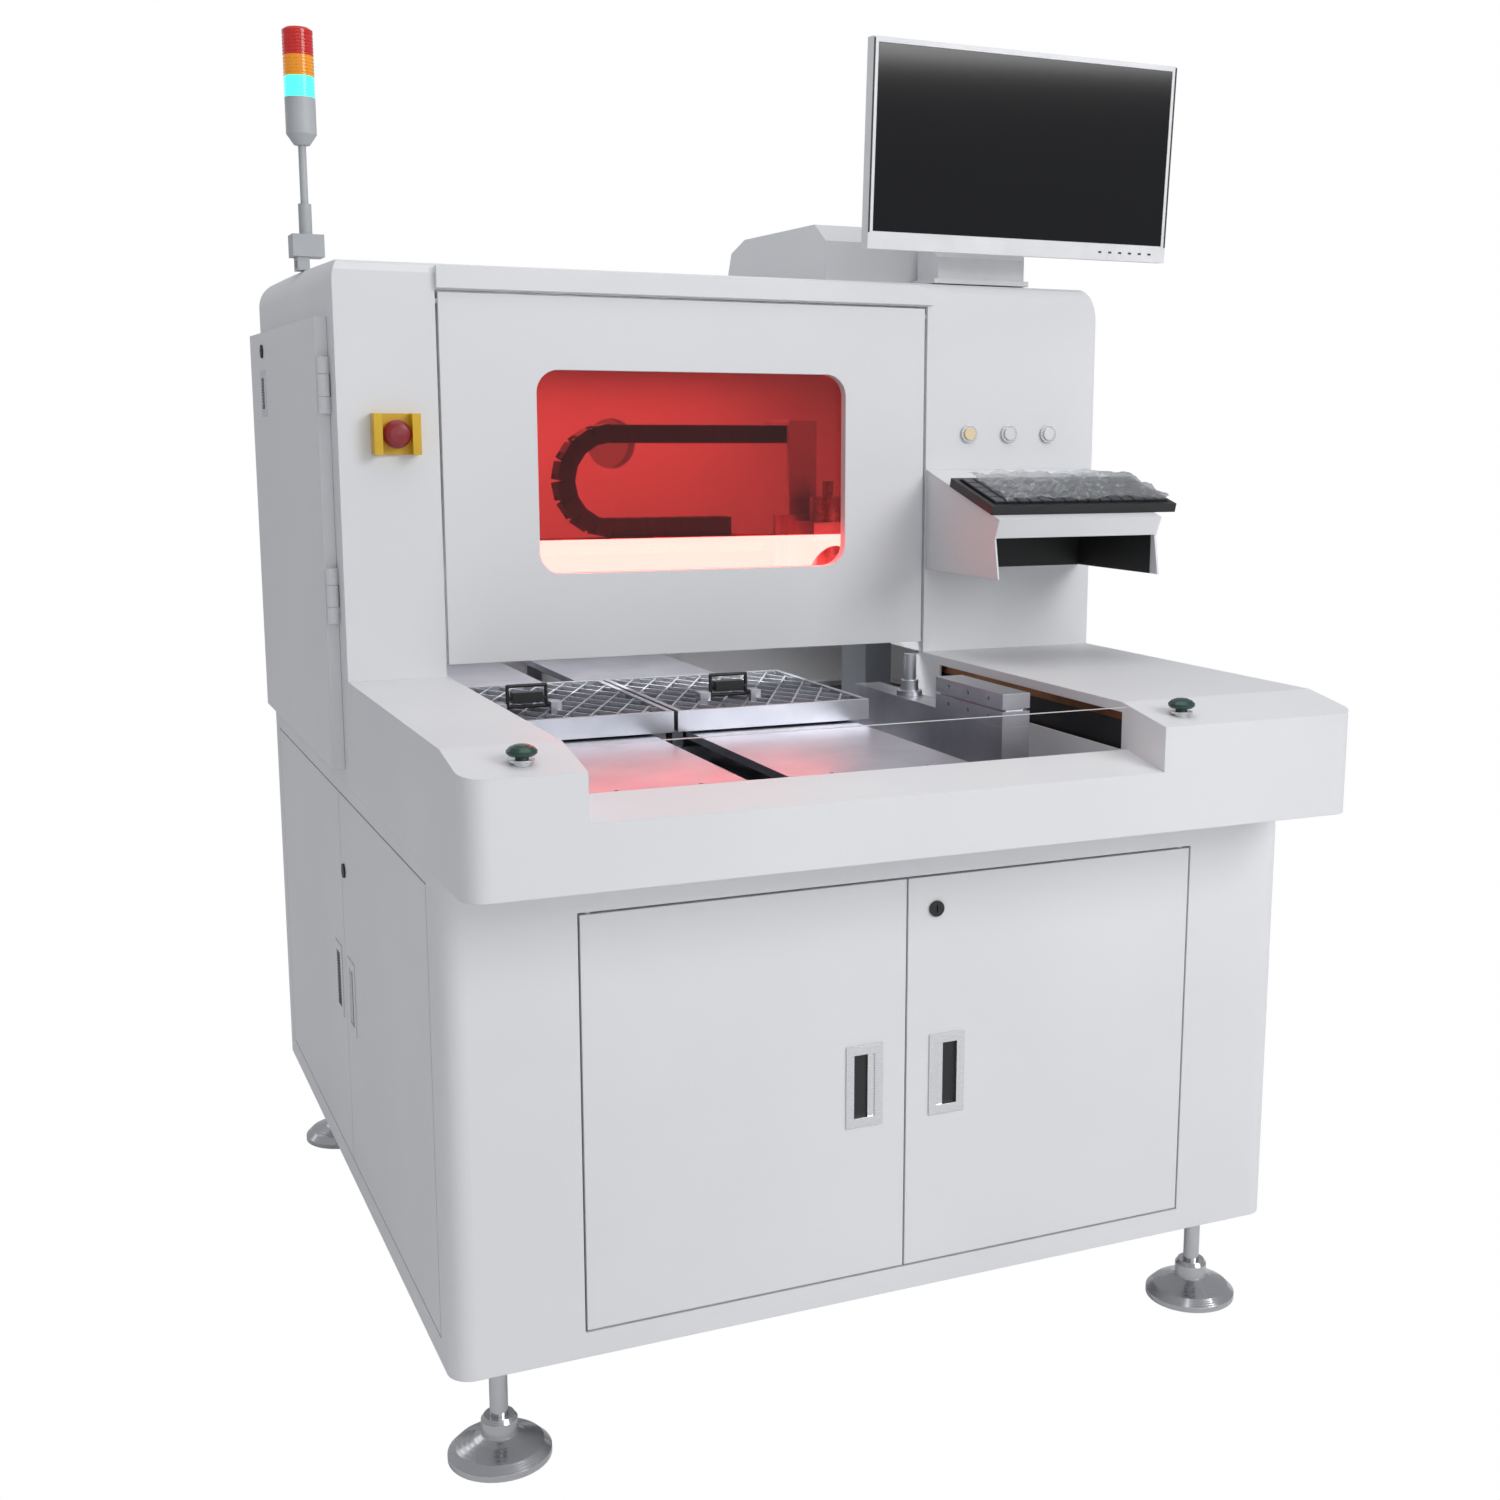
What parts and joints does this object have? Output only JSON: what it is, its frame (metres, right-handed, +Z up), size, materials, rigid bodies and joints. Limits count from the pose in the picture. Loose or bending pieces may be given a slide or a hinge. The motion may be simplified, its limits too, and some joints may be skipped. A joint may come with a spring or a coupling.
{
  "type": "board depaneling machine",
  "caption": "Board separating router: sheet-metal cabinet on levelling feet, shuttle tables, enclosed gantry spindle, lift-up safety door, keyboard tray, monitor and tower light",
  "frame": {"origin": "middle of the whole machine's footprint, on the ground under the feet", "axes": "+Z up, +X to the operator's right, -Y toward the operator"},
  "size_m": [1.352, 1.4944, 1.934],
  "materials": {
    "white_enamel": "satin",
    "grey_paint": "satin",
    "machined_aluminium": "fine milled",
    "stainless_sheet": "brushed",
    "ground_steel": "ground",
    "chrome_plate": "polished",
    "black_paint": "matt",
    "black_plastic": "moulded",
    "zinc_plate": "zinc plated",
    "yellow_plastic": "moulded",
    "bezel_chrome": "polished",
    "grey_plastic": "moulded",
    "red_lens": "clear moulded",
    "amber_lens": "clear moulded",
    "green_lens": "clear moulded",
    "red_glass": "tinted clear",
    "red_plastic": "moulded",
    "green_plastic": "moulded",
    "cream_plastic": "moulded",
    "white_plastic": "moulded"
  },
  "bodies": {
    "cabinet": {"base_cabinet": "white_enamel", "base_frame": "grey_paint", "levelling_feet": "chrome_plate", "deck_shell": "white_enamel", "floor_covers": "stainless_sheet", "machine_bed": "machined_aluminium", "linear_rails": "ground_steel", "axis_motors": "black_paint", "gantry_frame": "grey_paint", "drag_chain": "black_plastic", "hood_shell": "white_enamel", "header_cover": "white_enamel", "rear_cover": "white_enamel", "back_panels": "white_enamel", "exhaust_spigot": "ground_steel", "electrics": "zinc_plate", "estop_shroud": "yellow_plastic", "button_bezels": "bezel_chrome", "keyboard_tray": "white_enamel", "keyboard": "black_plastic", "monitor_stand": "white_plastic", "tower_pole": "grey_plastic", "lens_red": "red_lens", "lens_amber": "amber_lens", "lens_green": "green_lens", "side_module": "machined_aluminium"},
    "front_door_left_leaf": {"front_door_left": "white_enamel", "front_pull_left": "bezel_chrome"},
    "front_door_right_leaf": {"front_door_right": "white_enamel", "front_pull_right": "bezel_chrome"},
    "side_door_front_leaf": {"side_door_front": "white_enamel", "side_pull_front": "bezel_chrome"},
    "side_door_rear_leaf": {"side_door_rear": "white_enamel", "side_pull_rear": "bezel_chrome"},
    "hood_side_leaf": {"hood_side_door": "white_enamel", "hood_pull": "bezel_chrome"},
    "safety_panel": {"safety_door": "white_enamel", "window_pane": "red_glass"},
    "lock_front_cam": {"lock_front": "black_plastic"},
    "lock_side_cam": {"lock_side": "black_plastic"},
    "lock_hood_cam": {"lock_hood": "black_plastic"},
    "shuttle_left": {"table_left": "machined_aluminium", "fixture_left": "machined_aluminium"},
    "shuttle_right": {"table_right": "machined_aluminium", "fixture_right": "machined_aluminium"},
    "screw_left_shaft": {"screw_left": "ground_steel"},
    "screw_right_shaft": {"screw_right": "ground_steel"},
    "bail_left_wire": {"bail_left": "black_paint"},
    "bail_right_wire": {"bail_right": "black_paint"},
    "x_axis": {"x_carriage": "machined_aluminium"},
    "z_axis": {"z_slide": "machined_aluminium", "spindle": "ground_steel"},
    "rotor": {"collet_nut": "ground_steel"},
    "estop_head": {"estop_button": "red_plastic"},
    "start_left_head": {"start_button_left": "green_plastic"},
    "start_right_head": {"start_button_right": "green_plastic"},
    "button_left_cap": {"button_left": "cream_plastic"},
    "button_middle_cap": {"button_middle": "white_plastic"},
    "button_right_cap": {"button_right": "white_plastic"},
    "monitor_head": {"monitor": "white_plastic"}
  },
  "joints": [
    {"name": "front_door_left_hinge", "type": "hinge", "parent": "cabinet", "child": "front_door_left_leaf", "pos_m": [-0.468, -0.59415, 0.46], "axis": [0, 0, -1], "range_deg": [0, 110]},
    {"name": "front_door_right_hinge", "type": "hinge", "parent": "cabinet", "child": "front_door_right_leaf", "pos_m": [0.414, -0.59415, 0.46], "axis": [0, 0, 1], "range_deg": [0, 110]},
    {"name": "side_door_front_hinge", "type": "hinge", "parent": "cabinet", "child": "side_door_front_leaf", "pos_m": [-0.647, -0.52715, 0.46], "axis": [0, 0, 1], "range_deg": [0, 110]},
    {"name": "side_door_rear_hinge", "type": "hinge", "parent": "cabinet", "child": "side_door_rear_leaf", "pos_m": [-0.647, 0.68285, 0.46], "axis": [0, 0, -1], "range_deg": [0, 110]},
    {"name": "hood_side_door_hinge", "type": "hinge", "parent": "cabinet", "child": "hood_side_leaf", "pos_m": [-0.664, -0.00615, 1.24], "axis": [0, 0, 1], "range_deg": [0, 110]},
    {"name": "safety_door_hinge", "type": "hinge", "parent": "cabinet", "child": "safety_panel", "pos_m": [-0.1175, -0.04315, 1.51], "axis": [-1, 0, 0], "range_deg": [0, 85]},
    {"name": "lock_front_turn", "type": "hinge", "parent": "front_door_right_leaf", "child": "lock_front_cam", "pos_m": [0.0165, -0.60215, 0.697], "axis": [0, 1, 0], "range_deg": [0, 90]},
    {"name": "lock_side_turn", "type": "hinge", "parent": "side_door_front_leaf", "child": "lock_side_cam", "pos_m": [-0.655, 0.05235, 0.666], "axis": [1, 0, 0], "range_deg": [0, 90]},
    {"name": "lock_hood_turn", "type": "hinge", "parent": "hood_side_leaf", "child": "lock_hood_cam", "pos_m": [-0.673, 0.55285, 1.455], "axis": [-1, 0, 0], "range_deg": [0, 90]},
    {"name": "table_left_travel", "type": "slide", "parent": "cabinet", "child": "shuttle_left", "axis": [0, 1, 0], "range_m": [-0.335, 0.377]},
    {"name": "table_right_travel", "type": "slide", "parent": "cabinet", "child": "shuttle_right", "axis": [0, 1, 0], "range_m": [-0.335, 0.377]},
    {"name": "screw_left_turn", "type": "hinge", "parent": "cabinet", "child": "screw_left_shaft", "pos_m": [-0.398, -0.04715, 0.86], "axis": [0, 1, 0], "range_deg": [-6800, 6800]},
    {"name": "screw_right_turn", "type": "hinge", "parent": "cabinet", "child": "screw_right_shaft", "pos_m": [-0.092, -0.04715, 0.86], "axis": [0, 1, 0], "range_deg": [-6800, 6800]},
    {"name": "bail_left_hinge", "type": "hinge", "parent": "shuttle_left", "child": "bail_left_wire", "pos_m": [-0.433, -0.20215, 0.9423], "axis": [1, 0, 0], "range_deg": [-70, 70]},
    {"name": "bail_right_hinge", "type": "hinge", "parent": "shuttle_right", "child": "bail_right_wire", "pos_m": [-0.127, -0.20215, 0.9423], "axis": [1, 0, 0], "range_deg": [-70, 70]},
    {"name": "x_travel", "type": "slide", "parent": "cabinet", "child": "x_axis", "axis": [1, 0, 0], "range_m": [-0.65, 0.03]},
    {"name": "z_travel", "type": "slide", "parent": "x_axis", "child": "z_axis", "axis": [0, 0, 1], "range_m": [-0.045, 0.02]},
    {"name": "spindle_turn", "type": "hinge", "parent": "z_axis", "child": "rotor", "pos_m": [0.16, 0.07485, 1], "axis": [0, 0, 1], "continuous": true},
    {"name": "estop_push", "type": "slide", "parent": "cabinet", "child": "estop_head", "axis": [0, 1, 0], "range_m": [0, 0.004], "stiffness_N_per_m": 500},
    {"name": "start_left_push", "type": "slide", "parent": "cabinet", "child": "start_left_head", "axis": [0, 0, -1], "range_m": [0, 0.004], "stiffness_N_per_m": 500},
    {"name": "start_right_push", "type": "slide", "parent": "cabinet", "child": "start_right_head", "axis": [0, 0, -1], "range_m": [0, 0.004], "stiffness_N_per_m": 500},
    {"name": "button_left_push", "type": "slide", "parent": "cabinet", "child": "button_left_cap", "axis": [0, 1, 0], "range_m": [0, 0.004], "stiffness_N_per_m": 500},
    {"name": "button_middle_push", "type": "slide", "parent": "cabinet", "child": "button_middle_cap", "axis": [0, 1, 0], "range_m": [0, 0.004], "stiffness_N_per_m": 500},
    {"name": "button_right_push", "type": "slide", "parent": "cabinet", "child": "button_right_cap", "axis": [0, 1, 0], "range_m": [0, 0.004], "stiffness_N_per_m": 500},
    {"name": "monitor_tilt", "type": "hinge", "parent": "cabinet", "child": "monitor_head", "pos_m": [0.405, -0.05715, 1.765], "axis": [1, 0, 0], "range_deg": [-15, 15]}
  ],
  "couplings": [
    {"joint": "screw_left_turn", "follows": "table_left_travel", "rad_per_m": 314.16},
    {"joint": "screw_right_turn", "follows": "table_right_travel", "rad_per_m": 314.16}
  ]
}
